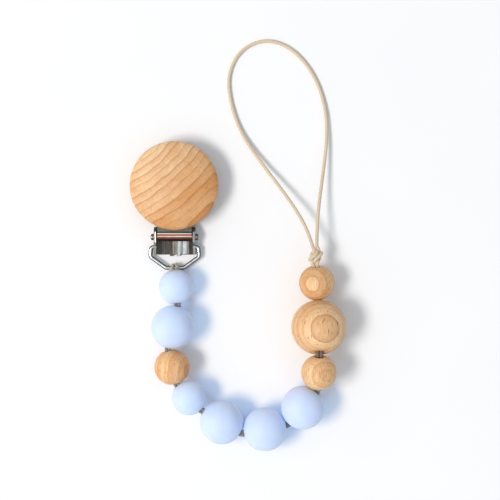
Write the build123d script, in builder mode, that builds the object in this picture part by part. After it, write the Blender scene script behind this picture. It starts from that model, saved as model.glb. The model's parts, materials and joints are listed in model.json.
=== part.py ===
"""Clip strap for a baby's dummy: a wooden disc clip, a beaded doubled cord, a knot and a cord loop.

The strap lies on the plane z = 0. +X and +Y lie in that plane, +Y runs from the beads' low bend to the
clip and the loop, and +Z is up. The origin is below the middle of the strap without its free loop.
"""
import os
from math import cos, pi, radians, sin, sqrt, tan

from build123d import *

os.makedirs("parts", exist_ok=True)

# ---------------------------------------------------------------- driving dimensions (mm, degrees)
CORD_DIAMETER = 1.2
CORD_RADIUS = CORD_DIAMETER / 2
STRAND_OFFSET = 0.62  # each strand's centre from the middle of the doubled cord
BEND_ROOM = 0.5  # bare length left at each side of a place where the cord bends
BEAD_BORE_RADIUS = 1.4
BORE_MOUTH_FILLET = 0.35

# Each kind of bead is a ball with a flat round each mouth of its hole: the ball's and the flat's radius
SILICONE_12 = (6.0, 1.87)
SILICONE_15 = (7.5, 1.88)
WOOD_12 = (6.1, 2.17)
WOOD_19 = (9.4, 3.43)

# The row of beads from the clip to the knot, laid in a U. Each bead: name, kind, heading of its hole in
# plan (from +X), upward tilt of its hole, and the length from one bend of the cord to the next.
ROW = (
    ("bead_01", SILICONE_12, -84, 8, 12.5),
    ("bead_02", SILICONE_15, -103, 1, 15.7),
    ("bead_03", WOOD_12, -76, -2, 12.5),
    ("bead_04", SILICONE_12, -46, 0, 12.5),
    ("bead_05", SILICONE_15, -30, 2, 15.9),
    ("bead_06", SILICONE_15, 11, -2, 16.3),
    ("bead_07", SILICONE_15, 50, 9, 16.0),
    ("bead_08", WOOD_12, 88, 15, 12.8),
    ("bead_09", WOOD_19, 91, -19, 19.4),
    ("bead_10", WOOD_12, 94, 11, 12.4),
)
ROW_START = Vector(-21.8, 9.0, 5.7)  # where the doubled cord bends between the hitch and the first bead

# The clip, centred on CLIP_X, with its hinge pin over PIN_Y. Its own lengths run from the pin.
CLIP_X = -21.8
PIN_Y = 20.1
PIN_Z = 3.4
PIN_RADIUS = 0.8
PIN_REACH = 8.2  # from the clip's middle to the pin's end
PIN_HEAD_RISE = 0.3
PIN_END_FILLET = 0.4
PRESSED_CLEARANCE = 0.01
SHEET = 0.8  # thickness of the base
BASE_WIDTH = 14.4
BASE_REAR = -6.1
BASE_FRONT = 3.4
EAR_TOP = 5.4
EAR_FRONT_HEIGHT = 2.8
EAR_CREST = 1.7  # half the length of the ear's flat top
EAR_BACK = ((-3.1, 3.9), (BASE_REAR, 3.5))  # the ear's outline from its top down to the base's rear
EAR_FILLET = 0.9
TONGUE_WIDTH = 10.4
TONGUE_END = 25.6
TONGUE_CORNER = 2.0
TONGUE_ROOT = 0.5  # how far the tongue starts inside the channel
BAIL_PIVOT_Y = -3.5
BAIL_PIVOT_Z = 2.2
RUNNING_CLEARANCE = 0.05

LEVER_WIDTH = 11.8
LEVER_END = 27.2
LEVER_SHEET = 0.7
LEVER_LIP = 1.7
LEVER_CORNER = 1.5
BARREL_RADIUS = 1.5
LEVER_TOP = PIN_Z + BARREL_RADIUS
PRONG_SIZE = (1.4, 0.5, 2.2)
PRONG_PLACES = ((-4.2, 10.0), (4.2, 10.0), (-4.2, 24.0), (4.2, 24.0))

DISC_RADIUS = 15.25
DISC_CENTRE_Y = 17.7
DISC_HEIGHT = 8.2
DISC_SHOULDERS = ((8.0, 0.65), (13.3, 2.5))  # radius, and how far the dome has dropped there
DISC_RIM_TOP = 3.0
DISC_RIM_ROUND = 1.3

SPRING_WIDTH = 10.6
SPRING_SHEET = 0.5
SPRING_END = 6.5
HOOK_PLACES = (-1.2, 1.2)
HOOK_WIDTH = 1.0
HOOK_REACH = 0.5
HOOK_FOOT = 0.15
HOOK_GAP = 0.05
HOOK_ROOT = 0.4
HOOK_LIFT = 0.02

PAD_WIDTH = 11.2
PAD_START = 18.0
PAD_END = 26.3
PAD_ROOT = 3.1
PAD_TIP = 3.95
PAD_TEETH = 5
STUD_Y = 21.5
STUD_RADIUS = 1.2
STUD_FOOT = 0.05

# The wire bail, a flat trapezoid from the ears to the bar that carries the cord
WIRE_RADIUS = 0.7
BAR_Y = 9.4
BAR_Z = 1.85
BAR_HALF = 3.1
HITCH_RADIUS = 1.75
HITCH_WIDTH = 4.4
HITCH_STRANDS_Y = 0.3  # from the bar's middle
HITCH_STRANDS_ROOT = 0.5  # how deep the strands start in the wrap
HITCH_STRANDS_OVER = 0.4  # how far they end above the first bend

KNOT_LENGTH = 5.6
KNOT_RADIUS = 2.3
KNOT_ROUND = 0.7  # rounding of the knot's ends, as part of its radius
KNOT_HEADING = 91
KNOT_TILT = 3
KNOT_GAP = 0.2

# Route of the free loop, from the knot round to the knot again
LOOP_ROUTE = (
    (25.8, 16.8, 9.2),
    (24.2, 22.0, 8.6),
    (20.6, 28.8, 7.0),
    (14.6, 37.4, 4.6),
    (7.6, 46.6, 2.4),
    (1.0, 56.6, 1.0),
    (-2.4, 66.6, 0.62),
    (-3.5, 76.4, 0.62),
    (0.8, 85.2, 0.62),
    (9.6, 89.1, 0.62),
    (18.9, 86.0, 0.62),
    (26.6, 77.0, 0.62),
    (30.7, 65.4, 0.8),
    (31.1, 54.0, 2.0),
    (29.6, 42.6, 4.0),
    (28.1, 32.0, 6.2),
    (27.3, 23.4, 8.2),
    (27.2, 16.8, 9.2),
)
FILLET_SHARE = 0.45  # part of the shorter run that each arc may take up


# ---------------------------------------------------------------- helpers
def finish_node(node, label):
    """Name a finished piece and write its STEP file."""
    node.part.label = label
    export_step(node.part, f"parts/{label}.step")


def heading_vector(heading, tilt):
    """Unit vector at a heading in plan, raised by a tilt."""
    level = cos(radians(tilt))
    return Vector(level * cos(radians(heading)), level * sin(radians(heading)), sin(radians(tilt)))


def side_vector(along):
    """Level unit vector at right angles to a direction."""
    return Vector(along.Y, -along.X, 0).normalized()


def tube_radii(route):
    """Largest tangent arc that each inner corner of a route allows."""
    points = [Vector(*point) for point in route]
    radii = []
    for before, corner, after in zip(points, points[1:], points[2:]):
        turn = (corner - before).get_angle(after - corner)
        shorter = min((corner - before).length, (after - corner).length)
        radii.append(FILLET_SHARE * shorter / tan(radians(turn / 2)))
    return radii


def strands(start, end):
    """Two strands side by side between two points."""
    along = (end - start).normalized()
    with BuildPart() as pair:
        with BuildSketch(Plane(origin=start, x_dir=side_vector(along), z_dir=along)):
            with Locations((-STRAND_OFFSET, 0), (STRAND_OFFSET, 0)):
                Circle(CORD_RADIUS)
        extrude(amount=(end - start).length)
    return pair.part


side_view = Plane(origin=(CLIP_X, PIN_Y, 0), x_dir=(0, 1, 0), z_dir=(1, 0, 0))


def clip_plan(height):
    """Level plane over the pin's middle."""
    return Plane.XY.move(Location((CLIP_X, PIN_Y, height)))


def clip_front(y):
    """Upright plane across the clip, facing back towards the bail."""
    return Plane(origin=(CLIP_X, PIN_Y + y, 0), x_dir=(1, 0, 0), z_dir=(0, -1, 0))


# ---------------------------------------------------------------- clip: base, pin, spring, pad
with BuildPart() as clip_base:
    # channel of base plate and two ears
    with BuildSketch(clip_front(BASE_REAR)):
        Rectangle(BASE_WIDTH, EAR_TOP, align=(Align.CENTER, Align.MIN))
        fillet(vertices().group_by(Axis.Z)[0], SHEET)
        with Locations((0, SHEET)):
            Rectangle(
                BASE_WIDTH - 2 * SHEET,
                EAR_TOP,
                align=(Align.CENTER, Align.MIN),
                mode=Mode.SUBTRACT,
            )
    extrude(amount=BASE_REAR - BASE_FRONT)
    # the ears' outline, high at the pin and low at the bail's pivot
    with BuildSketch(side_view):
        with BuildLine():
            Polyline(
                (BASE_REAR, 0),
                (BASE_FRONT, 0),
                (BASE_FRONT, EAR_FRONT_HEIGHT),
                (EAR_CREST, EAR_TOP),
                (-EAR_CREST, EAR_TOP),
                *EAR_BACK,
                close=True,
            )
        make_face()
        fillet(vertices().filter_by_position(Axis.Z, SHEET, EAR_TOP), EAR_FILLET)
    extrude(amount=BASE_WIDTH, both=True, mode=Mode.INTERSECT)
    # tongue that reaches forward under the disc
    with BuildSketch(clip_plan(0)):
        with Locations((0, BASE_FRONT - TONGUE_ROOT)):
            Rectangle(
                TONGUE_WIDTH,
                TONGUE_END - BASE_FRONT + TONGUE_ROOT,
                align=(Align.CENTER, Align.MIN),
            )
        fillet(vertices().group_by(Axis.Y)[-1], TONGUE_CORNER)
        with Locations((0, STUD_Y)):
            Circle(STUD_RADIUS, mode=Mode.SUBTRACT)
    extrude(amount=SHEET)
    # holes for the pin and for the bail's ends
    with BuildSketch(side_view):
        with Locations((0, PIN_Z)):
            Circle(PIN_RADIUS + PRESSED_CLEARANCE)
        with Locations((BAIL_PIVOT_Y, BAIL_PIVOT_Z)):
            Circle(WIRE_RADIUS + RUNNING_CLEARANCE)
    extrude(amount=BASE_WIDTH, both=True, mode=Mode.SUBTRACT)
finish_node(clip_base, "clip_base")

with BuildPart() as hinge_pin:
    with BuildSketch(side_view):
        with Locations((0, PIN_Z)):
            Circle(PIN_RADIUS)
    extrude(amount=PIN_REACH - PIN_HEAD_RISE, both=True)
    # upset heads outside the ears
    for outward in (1, -1):
        with BuildSketch(side_view.offset(outward * BASE_WIDTH / 2)):
            with Locations((0, PIN_Z)):
                Circle(PIN_RADIUS + PIN_HEAD_RISE)
        extrude(amount=outward * (PIN_REACH - BASE_WIDTH / 2))
    fillet(hinge_pin.faces().filter_by(Axis.X).group_by(Axis.X)[0].edges(), PIN_END_FILLET)
    fillet(hinge_pin.faces().filter_by(Axis.X).group_by(Axis.X)[-1].edges(), PIN_END_FILLET)
finish_node(hinge_pin, "hinge_pin")

spring_top = PIN_Z - BARREL_RADIUS - RUNNING_CLEARANCE
with BuildPart() as leaf_spring:
    # leaf bowed up under the barrel
    with BuildSketch(side_view):
        with BuildLine():
            ends = (BASE_REAR + 0.2, SPRING_END)
            low = ThreePointArc(
                (ends[0], SHEET),
                (sum(ends) / 2, spring_top - SPRING_SHEET),
                (ends[1], SHEET),
            )
            high = ThreePointArc(
                (ends[0], SHEET + SPRING_SHEET),
                (sum(ends) / 2, spring_top),
                (ends[1], SHEET + SPRING_SHEET),
            )
            Line(low @ 0, high @ 0)
            Line(low @ 1, high @ 1)
        make_face()
    extrude(amount=SPRING_WIDTH / 2, both=True)
    # two hooks over the base's rear edge
    for hook_x in HOOK_PLACES:
        with BuildSketch(side_view.offset(hook_x - HOOK_WIDTH / 2)):
            with BuildLine():
                Polyline(
                    (BASE_REAR + HOOK_ROOT, SHEET + HOOK_LIFT),
                    (BASE_REAR - HOOK_GAP, SHEET + HOOK_LIFT),
                    (BASE_REAR - HOOK_GAP, HOOK_FOOT),
                    (BASE_REAR - HOOK_REACH, HOOK_FOOT),
                    (BASE_REAR - HOOK_REACH, SHEET + SPRING_SHEET),
                    (BASE_REAR + HOOK_ROOT, SHEET + SPRING_SHEET),
                    close=True,
                )
            make_face()
        extrude(amount=HOOK_WIDTH)
finish_node(leaf_spring, "leaf_spring")

with BuildPart() as jaw_pad:
    # toothed block on the tongue, with a lip over the tongue's end
    tooth_pitch = (PAD_END - PAD_START) / PAD_TEETH
    with BuildSketch(side_view):
        with BuildLine():
            outline = [
                (PAD_END, PAD_ROOT),
                (PAD_END, 0),
                (TONGUE_END, 0),
                (TONGUE_END, SHEET),
                (PAD_START, SHEET),
                (PAD_START, PAD_ROOT),
            ]
            for tooth in range(PAD_TEETH):
                outline.append((PAD_START + (tooth + 0.5) * tooth_pitch, PAD_TIP))
                outline.append((PAD_START + (tooth + 1) * tooth_pitch, PAD_ROOT))
            Polyline(*outline)
        make_face()
    extrude(amount=PAD_WIDTH / 2, both=True)
    # stud that fills the tongue's hole
    with BuildSketch(clip_plan(SHEET)):
        with Locations((0, STUD_Y)):
            Circle(STUD_RADIUS)
    extrude(amount=STUD_FOOT - SHEET)
finish_node(jaw_pad, "jaw_pad")

# ---------------------------------------------------------------- clip: lever and disc
with BuildPart() as lever_plate:
    # plate rolled round the pin at one end and turned down at the other
    with BuildSketch(side_view):
        with Locations((0, PIN_Z)):
            Circle(BARREL_RADIUS)
        with Locations((0, LEVER_TOP)):
            Rectangle(LEVER_END, LEVER_SHEET, align=(Align.MIN, Align.MAX))
        with Locations((LEVER_END, LEVER_TOP)):
            Rectangle(LEVER_SHEET, LEVER_LIP, align=(Align.MAX, Align.MAX))
        with Locations((0, PIN_Z)):
            Circle(PIN_RADIUS + RUNNING_CLEARANCE, mode=Mode.SUBTRACT)
    extrude(amount=LEVER_WIDTH / 2, both=True)
    fillet(lever_plate.edges().filter_by(Axis.Z).group_by(Axis.Y)[-1], LEVER_CORNER)
    # prongs pressed up into the disc
    with BuildSketch(clip_plan(LEVER_TOP)):
        with Locations(*PRONG_PLACES):
            Rectangle(PRONG_SIZE[0], PRONG_SIZE[1])
    extrude(amount=PRONG_SIZE[2])
finish_node(lever_plate, "lever_plate")

disc_seat = Vector(CLIP_X, PIN_Y + DISC_CENTRE_Y, LEVER_TOP)
with BuildPart() as wood_disc:
    # flat underside, rounded rim and a low dome
    with BuildSketch(Plane(origin=disc_seat, x_dir=(0, 1, 0), z_dir=(1, 0, 0))):
        with BuildLine():
            Polyline((DISC_RADIUS - DISC_RIM_ROUND, 0), (0, 0), (0, DISC_HEIGHT))
            Spline(
                (0, DISC_HEIGHT),
                *[(radius, DISC_HEIGHT - drop) for radius, drop in DISC_SHOULDERS],
                (DISC_RADIUS, DISC_RIM_TOP),
                tangents=[(1, 0), (0, -1)],
            )
            Line((DISC_RADIUS, DISC_RIM_TOP), (DISC_RADIUS, DISC_RIM_ROUND))
            RadiusArc(
                (DISC_RADIUS, DISC_RIM_ROUND),
                (DISC_RADIUS - DISC_RIM_ROUND, 0),
                DISC_RIM_ROUND,
            )
        make_face()
    revolve(axis=Axis(disc_seat, (0, 0, 1)))
    # pockets for the prongs
    with BuildSketch(clip_plan(LEVER_TOP)):
        with Locations(*PRONG_PLACES):
            Rectangle(PRONG_SIZE[0], PRONG_SIZE[1])
    extrude(amount=PRONG_SIZE[2], mode=Mode.SUBTRACT)
finish_node(wood_disc, "wood_disc")

# ---------------------------------------------------------------- wire bail and the cord's hitch
pivot_y = PIN_Y + BAIL_PIVOT_Y
bail_slope = (BAIL_PIVOT_Z - BAR_Z) / (pivot_y - BAR_Y)
BAIL_SIDE = (
    (6.3, pivot_y),
    (8.2, pivot_y),
    (8.5, 13.3),
    (BAR_HALF, BAR_Y),
)  # half of the bail in plan, from its end in the ear to the bar
BAIL_CORNERS = (0.9, 1.3, 1.2)

with BuildPart() as wire_loop:
    half = [(x, y, BAR_Z + (y - BAR_Y) * bail_slope) for x, y in BAIL_SIDE]
    with BuildLine() as wire_line:
        FilletPolyline(
            *[(CLIP_X + x, y, z) for x, y, z in half],
            *[(CLIP_X - x, y, z) for x, y, z in reversed(half)],
            radius=[*BAIL_CORNERS, *reversed(BAIL_CORNERS)],
        )
    with BuildSketch(Plane(origin=wire_line.line @ 0, z_dir=wire_line.line % 0)):
        Circle(WIRE_RADIUS)
    sweep()
finish_node(wire_loop, "wire_loop")

with BuildPart() as cord_hitch:
    # wraps round the bar
    with BuildSketch(Plane(origin=(CLIP_X, BAR_Y, BAR_Z), x_dir=(0, 1, 0), z_dir=(1, 0, 0))):
        Circle(HITCH_RADIUS)
        Circle(WIRE_RADIUS + RUNNING_CLEARANCE, mode=Mode.SUBTRACT)
    extrude(amount=HITCH_WIDTH / 2, both=True)
    # the two strands that rise towards the first bead's mouth
    strands_foot = BAR_Z + HITCH_RADIUS - HITCH_STRANDS_ROOT
    with BuildSketch(Plane.XY.move(Location((CLIP_X, BAR_Y + HITCH_STRANDS_Y, strands_foot)))):
        with Locations((-STRAND_OFFSET, 0), (STRAND_OFFSET, 0)):
            Circle(CORD_RADIUS)
    extrude(amount=ROW_START.Z + HITCH_STRANDS_OVER - strands_foot)
finish_node(cord_hitch, "cord_hitch")

# ---------------------------------------------------------------- the row of beads on its doubled cord
bends = [ROW_START]
for name, kind, heading, tilt, pitch in ROW:
    along = heading_vector(heading, tilt)
    start = bends[-1]
    end = start + along * pitch
    bends.append(end)
    centre = (start + end) / 2
    radius, mouth = kind
    half_hole = sqrt(radius**2 - mouth**2)

    side = side_vector(along)

    with BuildPart() as bead:
        with BuildSketch(Plane(origin=centre, x_dir=side, z_dir=side.cross(along))):
            with BuildLine():
                Polyline(
                    (mouth, half_hole),
                    (BEAD_BORE_RADIUS, half_hole),
                    (BEAD_BORE_RADIUS, -half_hole),
                    (mouth, -half_hole),
                )
                ThreePointArc((mouth, -half_hole), (radius, 0), (mouth, half_hole))
            make_face()
        revolve(axis=Axis(centre, along))
        rings = bead.edges().filter_by(GeomType.CIRCLE)
        bore_mouths = rings.filter_by(lambda ring: ring.radius < (BEAD_BORE_RADIUS + mouth) / 2)
        fillet(bore_mouths, BORE_MOUTH_FILLET)
    finish_node(bead, name)

    with BuildPart() as cord_in_bead:
        add(strands(start + along * BEND_ROOM, end - along * BEND_ROOM))
    finish_node(cord_in_bead, f"cord_in_{name}")

# ---------------------------------------------------------------- knot and free loop
last_bend = bends[-1]
knot_along = heading_vector(KNOT_HEADING, KNOT_TILT)
knot_centre = last_bend + knot_along * (BEND_ROOM + KNOT_LENGTH / 2 + KNOT_GAP)

with BuildPart() as knot:
    with BuildSketch(Plane(origin=knot_centre, z_dir=knot_along)):
        Circle(KNOT_RADIUS)
    extrude(amount=KNOT_LENGTH / 2, both=True)
    fillet(knot.edges().filter_by(GeomType.CIRCLE), KNOT_RADIUS * KNOT_ROUND)
    add(strands(last_bend + knot_along * BEND_ROOM, knot_centre))
finish_node(knot, "knot")

loop_radii = tube_radii(LOOP_ROUTE)
with BuildPart() as cord_loop:
    with BuildLine() as loop_line:
        FilletPolyline(*LOOP_ROUTE, radius=loop_radii)
    with BuildSketch(Plane(origin=loop_line.line @ 0, z_dir=loop_line.line % 0)):
        Circle(CORD_RADIUS)
    sweep()
finish_node(cord_loop, "cord_loop")

# ---------------------------------------------------------------- printed facts
for index, bend in enumerate(bends):
    print("bend", index, round(bend.X, 3), round(bend.Y, 3), round(bend.Z, 3))
print("knot centre", round(knot_centre.X, 3), round(knot_centre.Y, 3), round(knot_centre.Z, 3))
print("loop radii", [round(value, 1) for value in loop_radii])
loop_length = sum(edge.length for edge in loop_line.line.edges())
swept_ratio = cord_loop.part.volume / (pi * CORD_RADIUS**2 * loop_length)
print("loop length", round(loop_length, 1), "volume / (section x length)", round(swept_ratio, 4))
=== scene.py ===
"""Beaded clip strap for a baby's dummy, lying on a pale table and seen from straight above."""
import json
from math import ceil, cos, pi, radians, sin, tau

import bpy
import numpy as np
from mathutils import Matrix, Vector


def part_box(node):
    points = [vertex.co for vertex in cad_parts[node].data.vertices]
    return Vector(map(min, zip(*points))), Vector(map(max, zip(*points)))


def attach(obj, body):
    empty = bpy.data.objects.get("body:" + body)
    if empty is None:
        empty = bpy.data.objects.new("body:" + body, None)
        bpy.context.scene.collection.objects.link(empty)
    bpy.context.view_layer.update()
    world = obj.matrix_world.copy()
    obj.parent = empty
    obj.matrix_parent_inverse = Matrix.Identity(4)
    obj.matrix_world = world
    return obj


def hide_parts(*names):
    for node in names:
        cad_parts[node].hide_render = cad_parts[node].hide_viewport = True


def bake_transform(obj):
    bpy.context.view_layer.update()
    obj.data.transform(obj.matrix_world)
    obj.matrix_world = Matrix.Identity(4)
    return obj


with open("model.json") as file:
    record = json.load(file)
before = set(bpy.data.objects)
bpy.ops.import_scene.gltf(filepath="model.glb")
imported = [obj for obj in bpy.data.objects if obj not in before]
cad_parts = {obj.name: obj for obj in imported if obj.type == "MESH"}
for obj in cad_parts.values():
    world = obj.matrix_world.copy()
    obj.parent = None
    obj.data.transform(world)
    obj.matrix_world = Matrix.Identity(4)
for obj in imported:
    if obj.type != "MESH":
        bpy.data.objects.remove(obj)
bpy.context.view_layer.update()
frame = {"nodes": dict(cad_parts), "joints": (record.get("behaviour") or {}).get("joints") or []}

MM = 0.001
joints = {joint["name"]: joint for joint in frame["joints"]}


# ---------------------------------------------------------------- places from the frame
def joint_place(name):
    """Where a joint is, in millimetres."""
    return Vector(joints[name]["pos_m"]) / MM


BEADS = 10
bends = [joint_place(f"cord_bend_{index:02d}") for index in range(BEADS + 1)]
alongs = [(after - before).normalized() for before, after in zip(bends, bends[1:])]
middles = [(before + after) / 2 for before, after in zip(bends, bends[1:])]


def side_of(along):
    """Level direction at right angles to the row, on its right."""
    return Vector((along.y, -along.x, 0)).normalized()


# ---------------------------------------------------------------- camera
VIEW_CENTRE = (4.3 * MM, 15.6 * MM)
VIEW_WIDTH = 172.4 * MM
BEAD_HEIGHT = 6 * MM  # where the view is VIEW_WIDTH wide
CAMERA_HEIGHT = 0.62
SENSOR_WIDTH = 36

camera_data = bpy.data.cameras.new("camera")
camera = bpy.data.objects.new("camera", camera_data)
bpy.context.scene.collection.objects.link(camera)
camera.location = (*VIEW_CENTRE, CAMERA_HEIGHT)
camera_data.sensor_width = SENSOR_WIDTH
camera_data.lens = SENSOR_WIDTH * (CAMERA_HEIGHT - BEAD_HEIGHT) / VIEW_WIDTH
camera_data.clip_start = 0.01
camera_data.clip_end = 10
bpy.context.scene.camera = camera


# ---------------------------------------------------------------- cord meshes
CORD_DIAMETER = 1.2
CORD_RADIUS = CORD_DIAMETER / 2
STRAND_OFFSET = 0.62  # each strand's centre from the middle of the doubled cord
TUBE_SIDES = 16
RING_STEP = 0.25  # from one ring of a tube's points to the next
CARRIERS = 4  # yarns of the braid's sheath that run each way
PLAIT_LENGTH = 1.5
PLAIT_DEPTH = 0.075  # as part of the cord's radius
YARN_FLATNESS = 0.7  # 1 for a yarn with a round back, less for a flatter one
YARN_DIP = 0.45  # how far a yarn sinks where another crosses over it
CUT_END = 0.55  # radius of a cord's eased end, as part of the cord's radius
STRAND_TURN = 0.37  # from the plait of one strand to the plait of the next, as part of a turn
TEXTURE_LENGTH = 10  # of cord to one unit of its texture


def run_along(points):
    """How far along a polyline each of its points is."""
    return np.concatenate([[0], np.cumsum(np.linalg.norm(np.diff(points, axis=0), axis=1))])


def directions(points):
    """Which way a polyline runs at each of its points."""
    tangents = np.gradient(points, axis=0)
    return tangents / np.linalg.norm(tangents, axis=1)[:, None]


def spread(points, count):
    """A number of points evenly spaced along a polyline."""
    run = run_along(points)
    at = np.linspace(0, run[-1], count)
    return np.stack([np.interp(at, run, points[:, k]) for k in range(3)], axis=1)


def resample(points, step):
    """Points evenly spaced along a polyline, about a step apart."""
    points = np.asarray(points, float)
    return spread(points, max(3, int(ceil(run_along(points)[-1] / step)) + 1))


def smooth_curve(points, order=4, resolution=16):
    """Points along a NURBS spline with these control points."""
    data = bpy.data.curves.new("guide", "CURVE")
    data.dimensions = "3D"
    data.resolution_u = resolution
    spline = data.splines.new("NURBS")
    spline.points.add(len(points) - 1)
    for control, point in zip(spline.points, points):
        control.co = (*point, 1)
    spline.order_u = order
    spline.use_endpoint_u = True
    guide = bpy.data.objects.new("guide", data)
    mesh = bpy.data.meshes.new_from_object(guide)
    line = np.array([tuple(vertex.co) for vertex in mesh.vertices])
    bpy.data.objects.remove(guide)
    bpy.data.meshes.remove(mesh)
    bpy.data.curves.remove(data)
    return line


def plait(around, run):
    """Height of a round braid's surface, from 0 in its grooves to 1 on its yarns."""
    one_way = CARRIERS * around + run / PLAIT_LENGTH
    other_way = CARRIERS * around - run / PLAIT_LENGTH
    over = (np.floor(one_way) + np.floor(other_way)) % 2 < 0.5
    across = np.where(over, other_way, one_way) % 1
    lengthwise = np.where(over, one_way, other_way) % 1
    back = 1 - YARN_DIP + YARN_DIP * np.sin(pi * lengthwise)
    return np.sin(pi * across) ** YARN_FLATNESS * back


def tube(line, radii, first_turn):
    """Vertices, faces and texture places of a braided tube along a line, in millimetres."""
    count = len(line)
    radii = np.broadcast_to(radii, count)
    tangents = directions(line)
    run = run_along(line)
    normal = np.cross(tangents[0], (0, 0, 1.0))
    if np.linalg.norm(normal) < 0.1:
        normal = np.cross(tangents[0], (1.0, 0, 0))
    turns = np.arange(TUBE_SIDES) / TUBE_SIDES
    angles = tau * turns
    rings = []
    for index in range(count):
        normal = normal - tangents[index] * (normal @ tangents[index])
        normal /= np.linalg.norm(normal)
        other = np.cross(tangents[index], normal)
        height = plait(turns + first_turn, run[index])
        reach = radii[index] * (1 - PLAIT_DEPTH + PLAIT_DEPTH * height)
        if index in (0, count - 1):
            reach = reach * CUT_END
        ring = np.cos(angles)[:, None] * normal + np.sin(angles)[:, None] * other
        rings.append(line[index] + reach[:, None] * ring)
    vertices = np.concatenate([*rings, line[:1], line[-1:]])
    faces, places = [], []
    for index in range(count - 1):
        low, high = index * TUBE_SIDES, (index + 1) * TUBE_SIDES
        near, far = run[index] / TEXTURE_LENGTH, run[index + 1] / TEXTURE_LENGTH
        for side in range(TUBE_SIDES):
            after = (side + 1) % TUBE_SIDES
            faces.append((low + side, low + after, high + after, high + side))
            left, right = side / TUBE_SIDES, (side + 1) / TUBE_SIDES
            places.append(((left, near), (right, near), (right, far), (left, far)))
    start, end = count * TUBE_SIDES, count * TUBE_SIDES + 1
    last = (count - 1) * TUBE_SIDES
    for side in range(TUBE_SIDES):
        after = (side + 1) % TUBE_SIDES
        faces.append((after, side, start))
        faces.append((last + side, last + after, end))
        places += [((0, 0),) * 3, ((0, run[-1] / TEXTURE_LENGTH),) * 3]
    return vertices, faces, places


def cord_piece(name, lines, radii=CORD_RADIUS):
    """One mesh object of braided tubes along lines given in millimetres."""
    vertices, faces, places = [], [], []
    for index, line in enumerate(lines):
        thickness = radii[index] if isinstance(radii, list) else radii
        some_vertices, some_faces, some_places = tube(line, thickness, STRAND_TURN * index)
        shift = sum(len(group) for group in vertices)
        vertices.append(some_vertices)
        faces += [tuple(corner + shift for corner in face) for face in some_faces]
        places += some_places
    mesh = bpy.data.meshes.new(name)
    mesh.from_pydata((np.concatenate(vertices) * MM).tolist(), [], faces)
    layer = mesh.uv_layers.new(name="along")
    layer.data.foreach_set("uv", [part for face in places for place in face for part in place])
    mesh.shade_smooth()
    mesh.update()
    piece = bpy.data.objects.new(name, mesh)
    bpy.context.scene.collection.objects.link(piece)
    return piece


# ---------------------------------------------------------------- the free loop
# Route from the knot round to the knot again, in metres
LOOP_ROUTE = (
    (0.0258, 0.0168, 0.0092),
    (0.0242, 0.0220, 0.0086),
    (0.0206, 0.0288, 0.0070),
    (0.0146, 0.0374, 0.0046),
    (0.0076, 0.0466, 0.0024),
    (0.0010, 0.0566, 0.0010),
    (-0.0024, 0.0666, 0.00062),
    (-0.0035, 0.0764, 0.00062),
    (0.0008, 0.0852, 0.00062),
    (0.0096, 0.0891, 0.00062),
    (0.0189, 0.0860, 0.00062),
    (0.0266, 0.0770, 0.00062),
    (0.0307, 0.0654, 0.0008),
    (0.0311, 0.0540, 0.0020),
    (0.0296, 0.0426, 0.0040),
    (0.0281, 0.0320, 0.0062),
    (0.0273, 0.0234, 0.0082),
    (0.0272, 0.0168, 0.0092),
)
loop_line = smooth_curve(LOOP_ROUTE, order=3, resolution=24)
free_loop = cord_piece("free_loop", [resample(loop_line / MM, RING_STEP)])
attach(free_loop, "knot")
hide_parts("cord_loop")


# ---------------------------------------------------------------- doubled cord between the beads
TURN_ROOM = 1.6  # from a bend to where the cord runs straight again
BEND_STEPS = 12


def strand(before, bend, after, direction_in, direction_out, offset):
    """One strand from the middle of a bead, past a bend, to the middle of the next bead."""
    side_in, side_out = side_of(direction_in), side_of(direction_out)
    side_bend = (side_in + side_out).normalized()
    start = before + side_in * offset
    turn_in = bend - direction_in * TURN_ROOM + side_in * offset
    corner = bend + side_bend * offset
    turn_out = bend + direction_out * TURN_ROOM + side_out * offset
    end = after + side_out * offset
    bow = [
        turn_in * (1 - part) ** 2 + corner * 2 * part * (1 - part) + turn_out * part**2
        for part in (step / BEND_STEPS for step in range(BEND_STEPS + 1))
    ]
    return resample([start, *bow, end], RING_STEP)


cord_pieces = [free_loop]
for index in range(1, BEADS):
    stretch = (middles[index - 1], bends[index], middles[index], alongs[index - 1], alongs[index])
    lines = [strand(*stretch, offset) for offset in (-STRAND_OFFSET, STRAND_OFFSET)]
    piece = cord_piece(f"cord_gap_{index:02d}", lines)
    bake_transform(piece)
    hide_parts(f"cord_in_bead_{index:02d}")
    cord_pieces.append(piece)

# ---------------------------------------------------------------- hitch round the wire bar
bar_low, bar_high = (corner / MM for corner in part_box("cord_hitch"))
HITCH_X = (bar_low.x + bar_high.x) / 2
# Right half of the hitch: across from the clip's middle, along the clip, and up. It goes from the first
# bead's mouth down in front of the bar, under it, up behind it, over it and down to the middle of the
# bight. Its two turns lie together behind and on the bar, and spread round the strands in front of it.
HITCH_HALF = (
    (0.60, 8.75, 5.15),
    (0.60, 8.65, 4.2),
    (0.60, 8.3, 3.2),
    (0.60, 8.15, 2.0),
    (0.60, 8.55, 1.0),
    (0.58, 9.45, 0.70),
    (0.56, 10.3, 1.05),
    (0.58, 10.52, 1.9),
    (0.62, 10.25, 2.75),
    (0.86, 9.60, 3.18),
    (1.60, 8.75, 3.05),
    (1.55, 7.7, 2.3),
    (0.75, 7.1, 1.75),
)
BIGHT = (0.0, 6.95, 1.7)
HITCH_CORD_RADIUS = 0.54  # drawn tight round the bar
HITCH_TOP = 4.4  # above this height the strands have their full radius
HITCH_EASE = 13  # rings over which the radius changes
STANDING = (3.0, 1.2, 0.2)  # from the first bend to places where the strands run straight


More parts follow.
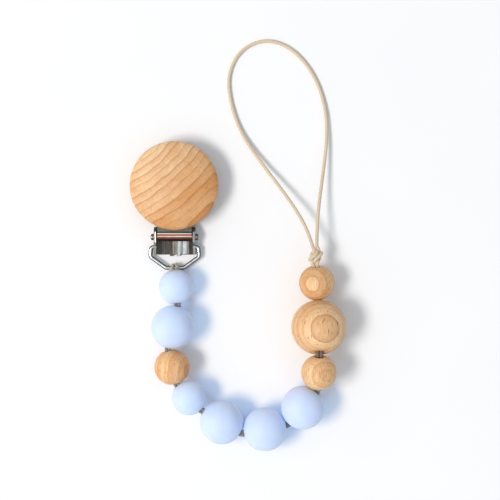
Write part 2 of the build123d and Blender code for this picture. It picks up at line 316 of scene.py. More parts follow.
def hitch_side(sign):
    """Half of the hitch with its strand inside the first bead, for one side of the clip."""
    side = side_of(alongs[0])
    offset = side * (-sign * STRAND_OFFSET)
    inside = [middles[0] + offset, *[bends[0] + alongs[0] * room + offset for room in STANDING]]
    wrapped = [Vector((HITCH_X + sign * x, y, z)) for x, y, z in HITCH_HALF]
    return [tuple(point) for point in inside + wrapped]


hitch_points = [
    *hitch_side(-1),
    (HITCH_X + BIGHT[0], *BIGHT[1:]),
    *reversed(hitch_side(1)),
]
hitch_line = resample(smooth_curve(hitch_points), RING_STEP)
hitch_radii = np.where(hitch_line[:, 2] < HITCH_TOP, HITCH_CORD_RADIUS, CORD_RADIUS)
hitch_radii = np.pad(hitch_radii, HITCH_EASE // 2, mode="edge")
hitch_radii = np.convolve(hitch_radii, np.ones(HITCH_EASE) / HITCH_EASE, mode="valid")
hitch = cord_piece("cord_lark_head", [hitch_line], [hitch_radii])
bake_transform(hitch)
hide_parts("cord_hitch")
cord_pieces.append(hitch)

# ---------------------------------------------------------------- overhand knot in the doubled cord
KNOT_POINTS = 130  # in each strand
KNOT_STEPS = 500
KNOT_LENGTH = 35.0  # of each strand, when pulled tight
KNOT_SHORTENING = 0.7  # part of the steps in which the strands shorten to that length
KNOT_PULL = 0.15
KNOT_PASSES = 3  # of length and contact in each step
KNOT_STIFFNESS = 0.25  # part of the way that a point moves to straighten, meet or clear a strand
FIRST_ROOM = 1.05  # between the middles of the two strands before pulling, in diameters
MOST_ROOM = 1.02  # past this the two strands are drawn together, in diameters
END_ROOM = 1.03  # between the middles of the strands at the knot's ends, in diameters
NO_CONTACT = 1.5  # along one strand, how near two points are that can't be pushed apart, in diameters
KNOT_SCALE = 1.02
KNOT_REACH = 2.65  # from the knot's middle to where its strands begin to straighten
KNOT_PLACE = 2.95  # from the last bend to the knot's middle
KNOT_HEADING = radians(91)  # in plan, from +X
KNOT_TILT = radians(3)
KNOT_CORD_RADIUS = 0.66  # fuller than the cord, because the strands press into each other
TREFOIL_REACH = 2.12  # the curve's own parameter at each end
TREFOIL_SIZE = (2.55, 0.714, 2.72)  # scale across, along and up
TREFOIL_TAIL = 3.0


def long_trefoil():
    """The middle line of a loose overhand knot with straight tails along Y."""
    t = np.linspace(-TREFOIL_REACH, TREFOIL_REACH, 800)
    across, length, height = TREFOIL_SIZE
    line = np.stack(
        [across * (t**3 - 3 * t), length * (t**5 - 10 * t), height * (t**4 - 4 * t**2 + 2)], axis=1
    )
    low = np.array([0, line[0, 1] - TREFOIL_TAIL, 0])
    high = np.array([0, line[-1, 1] + TREFOIL_TAIL, 0])
    tails = [np.linspace(low, line[0], 60)[:-1], np.linspace(line[-1], high, 60)[1:]]
    return spread(np.concatenate([tails[0], line, tails[1]]), KNOT_POINTS)


def two_strands(line):
    """Two strands beside a line, turned so that both ends lie side by side along X."""
    tangents = directions(line)
    sides = np.zeros_like(line)
    side = np.array([1.0, 0, 0])
    for index, tangent in enumerate(tangents):
        side = side - tangent * (side @ tangent)
        side /= np.linalg.norm(side)
        sides[index] = side
    ups = np.cross(tangents, sides)
    wanted = np.array([1.0, 0, 0]) - tangents[-1] * tangents[-1][0]
    turn = np.arctan2(wanted @ ups[-1], wanted @ sides[-1])
    share = np.linspace(0, 1, len(line))[:, None]
    offset = (sides * np.cos(turn * share) + ups * np.sin(turn * share)) * CORD_RADIUS * FIRST_ROOM
    return np.concatenate([line + offset, line - offset])


def pull_tight(points):
    """Draws the two strands' ends apart until the knot is tight, with no strand inside another."""
    count = len(points) // 2
    first_length = np.linalg.norm(np.diff(points[:count], axis=0), axis=1).mean()
    one, other = np.triu_indices(2 * count, 1)
    same = (one < count) == (other < count)
    apart = np.abs(one - other)
    runs = np.concatenate([np.arange(count - 1), count + np.arange(count - 1)])
    inner = np.r_[1 : count - 1, count + 1 : 2 * count - 1]
    ends = ((0, 1, -1), (count, -1, -1), (count - 1, 1, 1), (2 * count - 1, -1, 1))
    for step in range(KNOT_STEPS):
        part = min(1, step / (KNOT_STEPS * KNOT_SHORTENING))
        length = first_length * (1 - part) + KNOT_LENGTH / (count - 1) * part
        near = int(ceil(NO_CONTACT * CORD_DIAMETER / length)) + 1
        tested = ~same | (apart > near)
        straight = (points[inner - 1] + points[inner + 1]) / 2
        points[inner] += KNOT_STIFFNESS * (straight - points[inner])
        gap = points[count:] - points[:count]
        size = np.linalg.norm(gap, axis=1)[:, None]
        pull = KNOT_STIFFNESS * np.maximum(size - CORD_DIAMETER * MOST_ROOM, 0) / size * gap
        points[:count] += pull
        points[count:] -= pull
        for _ in range(KNOT_PASSES):
            for end, side, way in ends:
                points[end, 0] = side * CORD_RADIUS * END_ROOM
                points[end, 2] = 0
                points[end, 1] += way * KNOT_PULL
            for parity in (0, 1):
                start = runs[parity::2]
                gap = points[start + 1] - points[start]
                size = np.linalg.norm(gap, axis=1)[:, None]
                move = 0.5 * (size - length) / size * gap
                points[start] += move
                points[start + 1] -= move
            gap = points[other] - points[one]
            hit = tested & ((gap * gap).sum(axis=1) < CORD_DIAMETER**2)
            size = np.linalg.norm(gap[hit], axis=1)
            push = KNOT_STIFFNESS * (CORD_DIAMETER - size) / np.maximum(size, 1e-6)
            push = push[:, None] * gap[hit]
            np.add.at(points, one[hit], -push)
            np.add.at(points, other[hit], push)
    return points[:count], points[count:]


# The heading is so near +Y that its sine counts as 1
knot_along = Vector((cos(KNOT_HEADING) * cos(KNOT_TILT), cos(KNOT_TILT), sin(KNOT_TILT)))
knot_side = side_of(knot_along)
knot_up = knot_side.cross(knot_along)
knot_middle = bends[-1] + knot_along * KNOT_PLACE
knot_frame = np.array([tuple(knot_side), tuple(knot_along), tuple(knot_up)])

strand_a, strand_b = pull_tight(two_strands(long_trefoil()))
centre = (strand_a + strand_b).mean(axis=0) / 2
strand_a, strand_b = strand_a - centre, strand_b - centre
right, left = (strand_a, strand_b) if strand_a[0, 0] > strand_b[0, 0] else (strand_b, strand_a)
knot_lines = []
for points, sign, loop_end in ((left, -1, LOOP_ROUTE[0]), (right, 1, LOOP_ROUTE[-1])):
    lump = points * KNOT_SCALE
    inside = np.flatnonzero(np.abs(lump[:, 1]) < KNOT_REACH)
    lump = lump[inside[0] : inside[-1] + 1]
    tight = [tuple(Vector(point @ knot_frame) + knot_middle) for point in lump]
    side = side_of(alongs[-1]) * (sign * STRAND_OFFSET)
    below = [middles[-1] + side, bends[-1] - alongs[-1] * 1.5 + side, bends[-1] + side * 1.02]
    # Every second point of the tight stretch is enough to guide the curve
    line = [*[tuple(point) for point in below], *tight[::2], tuple(Vector(loop_end) / MM)]
    knot_lines.append(resample(smooth_curve(line, resolution=8), RING_STEP))
knot = cord_piece("cord_knot", knot_lines, KNOT_CORD_RADIUS)
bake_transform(knot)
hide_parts("knot", "cord_in_bead_10")
cord_pieces.append(knot)


# ---------------------------------------------------------------- materials
class Nodes:
    """A node tree, and short ways to add and join its nodes."""

    def __init__(self, owner):
        owner.use_nodes = True
        self.tree = owner.node_tree
        self.tree.nodes.clear()

    def set(self, node, values):
        """Sets or joins a node's sockets by name or number."""
        for key, value in values.items():
            socket = node.inputs[key.replace("_", " ") if isinstance(key, str) else key]
            if isinstance(value, bpy.types.NodeSocket):
                self.tree.links.new(value, socket)
            else:
                socket.default_value = value

    def node(self, kind, inputs=None, **properties):
        """Adds a node and returns its first output."""
        made = self.tree.nodes.new(f"ShaderNode{kind}")
        for key, value in properties.items():
            setattr(made, key, value)
        self.set(made, inputs or {})
        return made.outputs[0]

    def math(self, operation, *values):
        """A Math node."""
        return self.node("Math", dict(enumerate(values)), operation=operation)

    def noise(self, vector, scale, detail, roughness=0.5):
        """A Noise Texture's value, near 0 to 1."""
        inputs = {"Vector": vector, "Scale": scale, "Detail": detail, "Roughness": roughness}
        return self.node("TexNoise", inputs)

    def stretch(self, vector, factors):
        """A vector with each part multiplied by its own factor."""
        return self.node("VectorMath", {0: vector, 1: factors}, operation="MULTIPLY")

    def parts(self, vector):
        """A vector's three parts."""
        made = self.tree.nodes.new("ShaderNodeSeparateXYZ")
        self.tree.links.new(vector, made.inputs[0])
        return made.outputs

    def join(self, *parts):
        """A vector from three parts."""
        return self.node("CombineXYZ", dict(enumerate(parts)))

    def bands(self, value, *stops):
        """A colour ramp whose stops are at values of their own, in any range, lowest first."""
        low, high = stops[0][0], stops[-1][0]
        inputs = {0: value, "From Min": low, "From Max": high}
        part = self.node("MapRange", inputs)
        return self.ramp(part, *[((at - low) / (high - low), colour) for at, colour in stops])

    def ramp(self, value, *stops):
        """A colour ramp through (place, colour) stops; a number stands for a grey."""
        made = self.tree.nodes.new("ShaderNodeValToRGB")
        elements = made.color_ramp.elements
        while len(elements) < len(stops):
            elements.new(0.5)
        for element, (place, colour) in zip(elements, stops):
            element.position = place
            if not isinstance(colour, tuple):
                colour = (colour, colour, colour)
            element.color = (*colour, 1)
        self.tree.links.new(value, made.inputs[0])
        return made.outputs[0]

    def mix(self, factor, first, second, blend="MIX"):
        """A mix of two colours."""
        made = self.tree.nodes.new("ShaderNodeMix")
        made.data_type = "RGBA"
        made.blend_type = blend
        first, second = [
            (*colour, 1) if isinstance(colour, tuple) else colour for colour in (first, second)
        ]
        self.set(made, {0: factor, 6: first, 7: second})
        return made.outputs[2]


class Shader(Nodes):
    """A material with one Principled shader."""

    def __init__(self, name, **settings):
        self.material = bpy.data.materials.new(name)
        super().__init__(self.material)
        output = self.tree.nodes.new("ShaderNodeOutputMaterial")
        self.shader = self.tree.nodes.new("ShaderNodeBsdfPrincipled")
        self.tree.links.new(self.shader.outputs[0], output.inputs[0])
        self.set(self.shader, settings)

    def bump(self, height, distance, strength):
        """Makes the shader's surface rise and fall with a height, by a distance in millimetres."""
        inputs = {"Height": height, "Distance": distance * MM, "Strength": strength}
        self.set(self.shader, {"Normal": self.node("Bump", inputs)})

    def tint_shadow(self, colour):
        """Colours the shadow with the part of the lamp's light that each wall lets through."""
        output = self.tree.get_output_node("ALL")
        rays = self.tree.nodes.new("ShaderNodeLightPath")
        clear = self.tree.nodes.new("ShaderNodeBsdfTransparent")
        clear.inputs["Color"].default_value = (*colour, 1)
        both = self.tree.nodes.new("ShaderNodeMixShader")
        self.tree.links.new(rays.outputs["Is Shadow Ray"], both.inputs[0])
        self.tree.links.new(self.shader.outputs[0], both.inputs[1])
        self.tree.links.new(clear.outputs[0], both.inputs[2])
        self.tree.links.new(both.outputs[0], output.inputs[0])

    def place(self, centre=(0, 0, 0), axes=Matrix.Identity(3)):
        """A point's place in millimetres from a centre, along three axes."""
        turned = Matrix([tuple(axis) for axis in axes]).transposed().to_euler()
        mapping = self.tree.nodes.new("ShaderNodeMapping")
        mapping.vector_type = "TEXTURE"
        mapping.inputs["Location"].default_value = Vector(centre) * MM
        mapping.inputs["Rotation"].default_value = turned
        coordinates = self.tree.nodes.new("ShaderNodeTexCoord")
        self.tree.links.new(coordinates.outputs["Object"], mapping.inputs["Vector"])
        inputs = {0: mapping.outputs[0], "Scale": 1 / MM}
        return self.node("VectorMath", inputs, operation="SCALE")


WOOD_PALE = (0.91, 0.655, 0.390)
WOOD_WARM = (0.69, 0.335, 0.118)
WOOD_LATE = (0.40, 0.165, 0.060)
WOOD_FLECK = (0.24, 0.10, 0.035)
STREAK_DARK = (0.24, 0.38, 0.50)  # how much a dark streak takes from red, green and blue
STREAK_MIDDLING = (0.05, 0.085, 0.12)
HAIR_DARK = (0.86, 0.80, 0.75)


def beech(
    name,
    centre,
    fibre,
    growth,
    heart,
    spacing,
    shift,
    tones,
    warmth,
    rings,
    streaks,
    flecks,
    contrast,
    waver=1.5,
    slope=0.0,
    rays=0.0,
    cast=(1, 1, 1),
    bowed=False,
):
    """Pale beech: growth rings of differing colour, fibres and short dark flecks.

    fibre runs along the trunk and growth points away from its heart. heart is how far the heart is,
    spacing how wide a ring is, shift how far the rings are slid, and waver how far they wander, all
    in millimetres. tones slides the rings' colours, and contrast is how much they differ. warmth is
    how reddish the wood is, and slope how much more so with each millimetre of growth. rings,
    streaks, flecks and rays, the fine hatching across the rings, are how strong those are, and cast
    is a colour over it all. A bowed piece has its rings curved along the fibre.
    """
    made = Shader(name, Specular_IOR_Level=0.34)
    fibre = Vector(fibre).normalized()
    growth = Vector(growth)
    growth = (growth - fibre * growth.dot(fibre)).normalized()
    place = made.place(centre, (growth, fibre.cross(growth), fibre))
    outward, across, lengthwise = made.parts(place)
    from_heart = made.math("ADD", outward, heart)
    curved = lengthwise if bowed else across
    square = made.math("MULTIPLY", from_heart, from_heart)
    radius = made.math("SQRT", made.math("MULTIPLY_ADD", curved, curved, square))
    depth = made.math("SUBTRACT", radius, heart)
    bent = made.math("MULTIPLY", made.math("ARCTAN2", curved, from_heart), heart)
    wood = made.join(depth, across if bowed else bent, bent if bowed else lengthwise)

    wander = made.noise(made.stretch(wood, (0.12, 0.12, 0.07)), 1.0, 2.5)
    wander = made.math("MULTIPLY_ADD", wander, waver, shift - waver / 2)
    ring_place = made.math("ADD", depth, wander)
    phase = made.math("DIVIDE", ring_place, spacing)
    ring = made.math("FRACT", phase)
    turn = made.math("MULTIPLY_ADD", made.math("FLOOR", phase), 2.1, tones)
    ring_tone = made.math("MULTIPLY_ADD", made.math("SINE", turn), 0.5, 0.5)
    late = made.ramp(
        ring, (0.0, 1.0), (0.09, 0.66), (0.24, 0.32), (0.60, 0.11), (0.96, 0.0), (1.0, 0.9)
    )
    how_late = made.math("MULTIPLY_ADD", ring_tone, 0.30 * rings, 0.55 * rings)
    late = made.math("MULTIPLY", late, how_late)

    fine = made.noise(made.stretch(wood, (2.7, 2.7, 0.24)), 1.0, 3.0, 0.6)
    hair = made.noise(made.stretch(wood, (7.0, 7.0, 0.6)), 1.0, 2.0, 0.6)
    broad = made.noise(made.stretch(wood, (0.22, 0.22, 0.09)), 1.0, 2.0)
    tint = made.math("MULTIPLY_ADD", depth, slope, warmth - 0.62)
    tint = made.math("MULTIPLY_ADD", broad, 0.9, tint)
    tint = made.math("MULTIPLY_ADD", ring_tone, contrast, tint)
    tone = made.mix(made.ramp(tint, (0.0, 0.0), (1.0, 1.0)), WOOD_PALE, WOOD_WARM)
    tone = made.mix(late, tone, WOOD_LATE)
    dark = tuple(1.0 - part * streaks for part in STREAK_DARK)
    middling = tuple(1.0 - part * streaks for part in STREAK_MIDDLING)
    streak = made.ramp(fine, (0.30, dark), (0.47, middling), (0.70, 1.06))
    tone = made.mix(1.0, tone, streak, "MULTIPLY")
    tone = made.mix(0.5, tone, made.ramp(hair, (0.3, HAIR_DARK), (0.6, 1.05)), "MULTIPLY")
    if rays:
        hatch = made.noise(made.stretch(wood, (0.30, 0.9, 2.3)), 1.0, 2.0, 0.6)
        tone = made.mix(rays, tone, made.ramp(hatch, (0.36, 0.80), (0.58, 1.04)), "MULTIPLY")

    grain = made.stretch(wood, (1.05, 1.05, 0.13))
    cells = made.node("TexVoronoi", {"Vector": grain, "Scale": 1.0}).node
    some = made.math("GREATER_THAN", made.node("SeparateColor", {0: cells.outputs["Color"]}), 0.25)
    spot = made.ramp(cells.outputs["Distance"], (0.10, 1.0), (0.22, 0.0))
    fleck = made.math("MULTIPLY", spot, some)
    tone = made.mix(made.math("MULTIPLY", fleck, flecks), tone, WOOD_FLECK)
    tone = made.mix(1.0, tone, cast, "MULTIPLY")

    rough = made.math("MULTIPLY_ADD", fine, 0.16, 0.46)
    made.set(made.shader, {"Base Color": tone, "Roughness": rough})
    grooves = made.math("MULTIPLY_ADD", fleck, 0.8, made.math("MULTIPLY", late, 0.6))
    made.bump(made.math("SUBTRACT", made.math("MULTIPLY", fine, 0.5), grooves), 0.03, 0.5)
    return made.material


SILICONE_LOW = (0.600, 0.698, 0.960)
SILICONE_HIGH = (0.640, 0.735, 0.980)
SILICONE_SPREAD = (0.30, 0.52, 1.0)  # how far red, green and blue spread inside, beside each other
SILICONE_DEPTH = 4.2 * MM
SILICONE_PASSES = (0.20, 0.45, 0.67)  # what each wall of a bead lets through of the lamp's light


def silicone(name, centre):
    """Matte baby-blue silicone with a soft, slightly powdery skin."""
    made = Shader(
        name,
        Specular_IOR_Level=0.32,
        IOR=1.42,
        Sheen_Weight=0.05,
        Sheen_Roughness=0.5,
        Subsurface_Weight=0.70,
        Subsurface_Radius=SILICONE_SPREAD,
        Subsurface_Scale=SILICONE_DEPTH,
    )
    place = made.place(centre)
    cloud = made.noise(place, 0.16, 2.0)
    tone = made.ramp(cloud, (0.3, SILICONE_LOW), (0.7, SILICONE_HIGH))
    made.set(made.shader, {"Base Color": tone})
    skin = made.noise(place, 9.0, 3.0, 0.6)
    made.set(made.shader, {"Roughness": made.math("MULTIPLY_ADD", skin, 0.14, 0.50)})
    made.bump(skin, 0.012, 0.5)
    made.tint_shadow(SILICONE_PASSES)
    return made.material


NICKEL_LIGHT = (0.93, 0.92, 0.90)
NICKEL_LINE = (0.62, 0.60, 0.57)
NICKEL_SLOPE_SHADE = 0.30  # painted shade: how bright a sloping face is beside one that lies flat
NICKEL_UPRIGHT_SHADE = 0.62  # painted shade: how bright a face is that stands upright or looks down
NICKEL_BARE = (0.80, 0.79, 0.77)  # over faces that look away from the top and get no painted reflection
TARNISH = (0.36, 0.26, 0.17)


def nickel(name, centre, brushed, painted_light=None, side=NICKEL_SLOPE_SHADE, rough=0.16, highlight_core=(0.80, 0.96)):
    """Plated steel sheet or wire: fine drawing lines and a little tarnish, with painted shade on
    sloping faces and a painted highlight on level ones.

    painted_light takes the shader and a place in millimetres and returns the painted reflection and
    shade of a top face there.
    highlight_core is how level a face is where its painted highlight starts to rise, and where it is
    full.
    """
    made = Shader(name, Metallic=1.0)
    axis = Vector(brushed)
    other = axis.orthogonal().normalized()
    place = made.place(centre, (other, axis.cross(other), axis))
    lines = made.noise(made.stretch(place, (2.6, 2.6, 0.12)), 1.0, 3.0, 0.6)
    patches = made.noise(place, 0.35, 2.0)
    tarnish = made.noise(place, 0.8, 4.0, 0.65)
    tone = made.ramp(lines, (0.30, NICKEL_LINE), (0.55, NICKEL_LIGHT))
    tone = made.mix(made.ramp(tarnish, (0.56, 0.0), (0.80, 0.6)), tone, TARNISH)
    upward = made.parts(made.node("TexCoord").node.outputs["Normal"])[2]
    # Painted shade and highlight: darker on sloping faces, brightest on level ones, standing in for
    # reflections
    shade = made.ramp(
        upward, (0.02, NICKEL_UPRIGHT_SHADE), (0.28, side), (highlight_core[0], side * 1.25), (highlight_core[1], 1.0)
    )
    tone = made.mix(1.0, tone, shade, "MULTIPLY")
    # Painted reflections and shade, on the top faces only
    if painted_light:
        top = made.ramp(upward, (0.05, 0.0), (0.30, 1.0))
        painted = painted_light(made, made.place())
        tone = made.mix(1.0, tone, made.mix(top, NICKEL_BARE, painted), "MULTIPLY")
    roughness = made.math("MULTIPLY_ADD", patches, 0.10, rough)
    roughness = made.math("MULTIPLY_ADD", lines, 0.12, roughness)
    made.set(made.shader, {"Base Color": tone, "Roughness": roughness})
    made.bump(made.math("MULTIPLY_ADD", lines, 0.25, patches), 0.05, 0.6)
    return made.material


PIN_PLACE = joint_place("clip_lever")


def barrel_reflection_paint(made, place):
    """The lever's top faces, painted: a coppery reflection of the wooden disc on the barrel between
    pale painted highlights, a dark painted reflection in front of it, and dark painted reflections on
    the plate behind it.
    """
    along = made.math("SUBTRACT", made.parts(place)[1], PIN_PLACE.y)
    # Painted reflections and highlights, in bands along the lever from the pin
    return made.bands(
        along,
        (-1.70, (0.20, 0.085, 0.055)),
        (-0.05, (0.24, 0.095, 0.060)),
        (0.03, (1.0, 0.90, 0.87)),
        (0.24, (1.0, 0.90, 0.87)),
        (0.32, (0.52, 0.20, 0.14)),
        (0.98, (0.60, 0.24, 0.17)),
        (1.06, (1.0, 0.92, 0.89)),
        (1.26, (1.0, 0.92, 0.89)),
        (1.36, (0.06, 0.055, 0.045)),
        (1.75, (0.08, 0.075, 0.06)),
        (2.00, (0.20, 0.21, 0.165)),
        (4.50, (0.17, 0.18, 0.145)),
    )


def base_shade_paint(made, place):
    """The clip's base: painted shade, dark down in its channel and bright on its upper edges."""
    # Painted shade: the lower a top face lies in the channel, the darker
    return made.bands(
        made.parts(place)[2],
        (0.0, (0.10, 0.09, 0.08)),
        (2.6, (0.16, 0.145, 0.13)),
        (3.8, (0.52, 0.50, 0.47)),
        (5.4, (0.80, 0.79, 0.77)),
    )


def leaf_reflection_paint(made, place):
    """The leaf spring's top face: a painted reflection, dark with vertical streaks on one half and pale
    on the other, with painted shade along both edges.
    """
    across = made.math("SUBTRACT", made.parts(place)[0], PIN_PLACE.x)
    # Painted reflection: dark and pale halves with streaks, and painted shade at both edges
    streaks = made.noise(made.stretch(place, (1.5, 0.05, 0.1)), 1.0, 2.0)
    shifted = made.math("MULTIPLY_ADD", streaks, 0.5, across)
    reflection_halves = made.bands(
        shifted,
        (-5.40, (0.05, 0.045, 0.04)),
        (-4.30, (0.16, 0.15, 0.14)),
        (-0.60, (0.13, 0.12, 0.10)),
        (-0.30, (0.40, 0.36, 0.30)),
        (0.75, (0.48, 0.46, 0.40)),
        (0.90, (0.80, 0.85, 0.82)),
        (2.20, (0.84, 0.89, 0.86)),
        (2.75, (0.50, 0.55, 0.53)),
        (3.30, (0.92, 0.97, 0.94)),
        (4.80, (0.80, 0.84, 0.82)),
        (5.30, (0.12, 0.11, 0.10)),
    )
    return made.mix(1.0, reflection_halves, made.ramp(streaks, (0.38, 0.45), (0.60, 1.1)), "MULTIPLY")


# Painted reflection: the pin's top faces darker than the rest of the metal
PIN_DARK_REFLECTION = (0.40, 0.38, 0.35)


def pin_reflection_paint(made, place):
    """The pin's top faces: a painted dark reflection, greyer than the rest."""
    return PIN_DARK_REFLECTION


# Each cord: the lower and the higher colour of its fibres, and the painted shade in its grooves. All
# but the open cord are painted darker as shade.
CORD_OPEN = ((0.61, 0.475, 0.33), (0.80, 0.655, 0.485), (0.42, 0.29, 0.17))
# Painted shade: the strands between the beads, darker and greyer than the cord
CORD_GAP_SHADE = ((0.23, 0.205, 0.18), (0.38, 0.34, 0.30), (0.13, 0.11, 0.09))
# Painted shade: the strands in the dark crevices between the last wooden beads
CORD_CREVICE_SHADE = ((0.16, 0.105, 0.07), (0.26, 0.18, 0.125), (0.08, 0.05, 0.035))
# Painted shade: the hitch, in the first bead's shadow round the wire bar
CORD_HITCH_SHADE = ((0.43, 0.375, 0.31), (0.53, 0.465, 0.39), (0.33, 0.28, 0.22))


def waxed_cord(name, low, high, groove_shade):
    """Waxed cotton cord: plaited yarns with fibres along them, and grooves between them painted darker
    as shade.
    """
    made = Shader(name, Specular_IOR_Level=0.3, Sheen_Weight=0.1, Sheen_Roughness=0.6)
    coordinates = made.node("TexCoord").node.outputs["UV"]
    parts = made.parts(coordinates)
    turn = made.math("MULTIPLY", parts[0], float(CARRIERS))
    run = made.math("MULTIPLY", parts[1], TEXTURE_LENGTH / PLAIT_LENGTH)
    one_way, other_way = made.math("ADD", turn, run), made.math("SUBTRACT", turn, run)
    groove = made.math(
        "MULTIPLY",
        made.math("SINE", made.math("MULTIPLY", made.math("FRACT", one_way), pi)),
        made.math("SINE", made.math("MULTIPLY", made.math("FRACT", other_way), pi)),
    )
    fibres = made.noise(made.stretch(coordinates, (26.0, 9.0, 1.0)), 1.0, 3.0, 0.6)
    broad = made.noise(made.stretch(coordinates, (1.0, 1.6, 1.0)), 1.0, 2.0)
    tone = made.ramp(fibres, (0.25, low), (0.75, high))
    # Painted shade in the grooves between the yarns
    tone = made.mix(made.ramp(groove, (0.0, 0.42), (0.45, 0.0)), tone, groove_shade)
    tone = made.mix(0.5, tone, made.ramp(broad, (0.3, 0.86), (0.7, 1.04)), "MULTIPLY")
    made.set(made.shader, {"Base Color": tone})
    made.set(made.shader, {"Roughness": made.math("MULTIPLY_ADD", fibres, 0.2, 0.42)})
    made.bump(made.math("MULTIPLY_ADD", fibres, 0.3, groove), 0.03, 0.6)
    return made.material


def jaw_plastic(name, centre):
    """Milky soft plastic of the jaw's toothed pad."""
    made = Shader(name, Specular_IOR_Level=0.45, IOR=1.48)
    place = made.place(centre)
    cloud = made.noise(place, 0.5, 3.0)
    tone = made.ramp(cloud, (0.3, (0.70, 0.69, 0.66)), (0.7, (0.80, 0.79, 0.76)))
    made.set(made.shader, {"Base Color": tone})
    grain = made.noise(place, 6.0, 2.0)
    made.set(made.shader, {"Roughness": made.math("MULTIPLY_ADD", grain, 0.15, 0.35)})
    made.bump(grain, 0.02, 0.4)
    return made.material


def finish(node, material):
    """Gives a CAD node its material."""
    mesh = frame["nodes"][node].data
    mesh.materials.clear()
    mesh.materials.append(material)


def middle_of(node):
    """The middle of a node's box, in millimetres."""
    low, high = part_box(node)
    return (low + high) / 2 / MM


# ---------------------------------------------------------------- what each piece is made of
SILICONE_BEADS = (1, 2, 4, 5, 6, 7)
for number in SILICONE_BEADS:
    node = f"bead_{number:02d}"
    finish(node, silicone(f"silicone_{number:02d}", middle_of(node)))

WOODEN_BEADS = {
    3: dict(
        fibre=(0.16, 1, 0.05),
        growth=(0.98, 0, 0.25),
        heart=30,
        spacing=1.5,
        shift=0.4,
        tones=0.0,
        warmth=0.56,
        rings=0.42,
        streaks=0.85,
        flecks=0.6,
        contrast=0.24,
        cast=(1.0, 0.96, 0.95),
    ),
    8: dict(
        fibre=(0.05, 1, 0.10),
        growth=(0.50, -0.1, 0.86),
        heart=24,
        spacing=1.7,
        shift=1.1,
        tones=1.0,
        warmth=0.34,
        rings=0.50,
        streaks=1.05,
        flecks=0.6,
        contrast=0.24,
    ),
    9: dict(
        fibre=(0.02, 1, 0.0),
        growth=(0.24, 0, 0.97),
        heart=60,
        spacing=2.1,
        shift=2.36,
        tones=2.6,
        warmth=0.36,
        rings=0.80,
        streaks=0.8,
        flecks=0.85,
        contrast=0.36,
        waver=1.1,
    ),
    10: dict(
        fibre=(0.08, 1, 0.12),
        growth=(0.36, 0.34, -0.87),
        heart=42,
        spacing=1.9,
        shift=1.78,
        tones=4.73,
        warmth=0.50,
        rings=0.66,
        streaks=1.0,
        flecks=0.55,
        contrast=0.32,
        waver=1.2,
    ),
}
for number, grain in WOODEN_BEADS.items():
    node = f"bead_{number:02d}"
    finish(node, beech(f"beech_{number:02d}", middle_of(node), **grain))

disc_wood = beech(
    "beech_disc",
    middle_of("wood_disc"),
    fibre=(0.76, 0.65, 0),
    growth=(0.62, -0.68, 0.38),
    heart=30,
    spacing=2.5,
    shift=2.1,
    tones=0.6,
    warmth=0.64,
    rings=0.92,
    streaks=0.40,
    flecks=0.12,
    contrast=0.15,
    waver=3.6,
    slope=0.026,
    rays=0.45,
    cast=(1.0, 0.985, 0.985),
    bowed=True,
)
finish("wood_disc", disc_wood)

clip_middle = middle_of("clip_base")
# The metal parts: painted shade on sloping faces, and painted reflections and shade on top faces
finish("clip_base", nickel("nickel_base", clip_middle, (0, 1, 0), base_shade_paint, side=0.5))
finish("leaf_spring", nickel("nickel_spring", clip_middle, (0, 1, 0), leaf_reflection_paint))
finish("lever_plate", nickel("nickel_lever", clip_middle, (1, 0, 0), barrel_reflection_paint, rough=0.24))
finish("hinge_pin", nickel("nickel_pin", clip_middle, (1, 0, 0), pin_reflection_paint, side=0.2))
wire_metal = nickel("nickel_wire", clip_middle, (1, 0, 0), side=0.14, highlight_core=(0.86, 0.985))
finish("wire_loop", wire_metal)
finish("jaw_pad", jaw_plastic("jaw_plastic", middle_of("jaw_pad")))

open_cord = waxed_cord("waxed_cord", *CORD_OPEN)
gap_shade_cord = waxed_cord("waxed_cord_gap_shade", *CORD_GAP_SHADE)
crevice_shade_cord = waxed_cord("waxed_cord_crevice_shade", *CORD_CREVICE_SHADE)
hitch_shade_cord = waxed_cord("waxed_cord_hitch_shade", *CORD_HITCH_SHADE)
# Painted shade: every cord piece but the free loop and the knot gets a cord colour painted darker
cord_by_piece = {
    "free_loop": open_cord,
    "cord_knot": open_cord,
    "cord_gap_08": crevice_shade_cord,
    "cord_gap_09": crevice_shade_cord,
    "cord_lark_head": hitch_shade_cord,
}
for piece in cord_pieces:
    piece.data.materials.append(cord_by_piece.get(piece.name, gap_shade_cord))

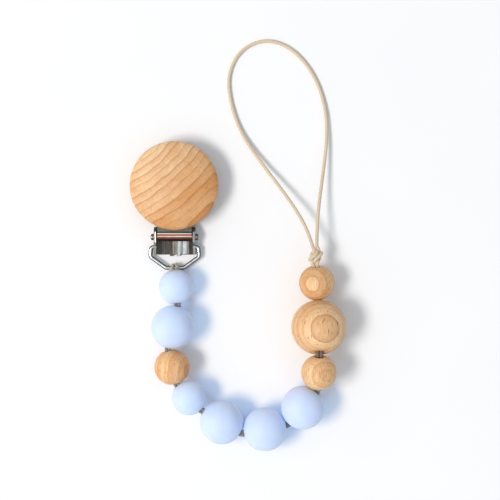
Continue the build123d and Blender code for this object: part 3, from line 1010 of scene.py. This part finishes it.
# ---------------------------------------------------------------- table, lamp and sky
TABLE_SIZE = 3.0
TABLE_DROP = 0.02 * MM  # keeps the table's face off the faces that rest on it
TABLE_LOW = (0.865, 0.865, 0.87)
TABLE_HIGH = (0.88, 0.88, 0.88)
table_mesh = bpy.data.meshes.new("table")
reach = TABLE_SIZE / 2
table_mesh.from_pydata(
    [(-reach, -reach, 0), (reach, -reach, 0), (reach, reach, 0), (-reach, reach, 0)],
    [],
    [(0, 1, 2, 3)],
)
table = bpy.data.objects.new("table", table_mesh)
table.location.z = -TABLE_DROP
bpy.context.scene.collection.objects.link(table)
table_top = Shader("table_top", Specular_IOR_Level=0.2)
table_place = table_top.place()
table_cloud = table_top.noise(table_place, 0.02, 2.0)
table_tone = table_top.ramp(table_cloud, (0.3, TABLE_LOW), (0.7, TABLE_HIGH))
table_top.set(table_top.shader, {"Base Color": table_tone, "Roughness": 0.7})
table_mesh.materials.append(table_top.material)

KEY_DIRECTION = Vector((-0.62, -0.20, 1.0)).normalized()  # from the middle of the view
KEY_DISTANCE = 2.2
KEY_SIZE = (0.90, 0.48)
KEY_POWER = 32.5
KEY_COLOUR = (1.0, 0.970, 0.943)
key_data = bpy.data.lights.new("key", "AREA")
key_data.shape = "RECTANGLE"
key_data.size, key_data.size_y = KEY_SIZE
key_data.energy = KEY_POWER
key_data.color = KEY_COLOUR
key = bpy.data.objects.new("key", key_data)
bpy.context.scene.collection.objects.link(key)
key.location = Vector((*VIEW_CENTRE, 0)) + KEY_DIRECTION * KEY_DISTANCE
key.rotation_mode = "QUATERNION"
key.rotation_quaternion = KEY_DIRECTION.to_track_quat("Z", "Y")

SKY = ((0.0, 0.80), (0.45, 0.74), (0.60, 0.84), (0.85, 0.94), (1.0, 0.86))  # horizon to zenith
SKY_LEFT = (0.985, 0.965, 0.94)
SKY_RIGHT = (0.63, 0.735, 0.85)
SKY_STRENGTH = 0.84
world = bpy.data.worlds.new("room")
bpy.context.scene.world = world
sky = Nodes(world)
sky_output = sky.tree.nodes.new("ShaderNodeOutputWorld")
sky_place = sky.parts(sky.node("TexCoord").node.outputs["Generated"])
sky_across = sky.node("MapRange", {0: sky_place[0], "From Min": -1})
sky_sides = sky.ramp(sky_across, (0.0, SKY_LEFT), (1.0, SKY_RIGHT))
sky_colour = sky.mix(1.0, sky.ramp(sky_place[2], *SKY), sky_sides, "MULTIPLY")
sky_light = sky.node("Background", {"Color": sky_colour, "Strength": SKY_STRENGTH})
sky.tree.links.new(sky_light, sky_output.inputs[0])

bpy.context.scene.view_settings.view_transform = "Standard"
bpy.context.scene.view_settings.look = "None"
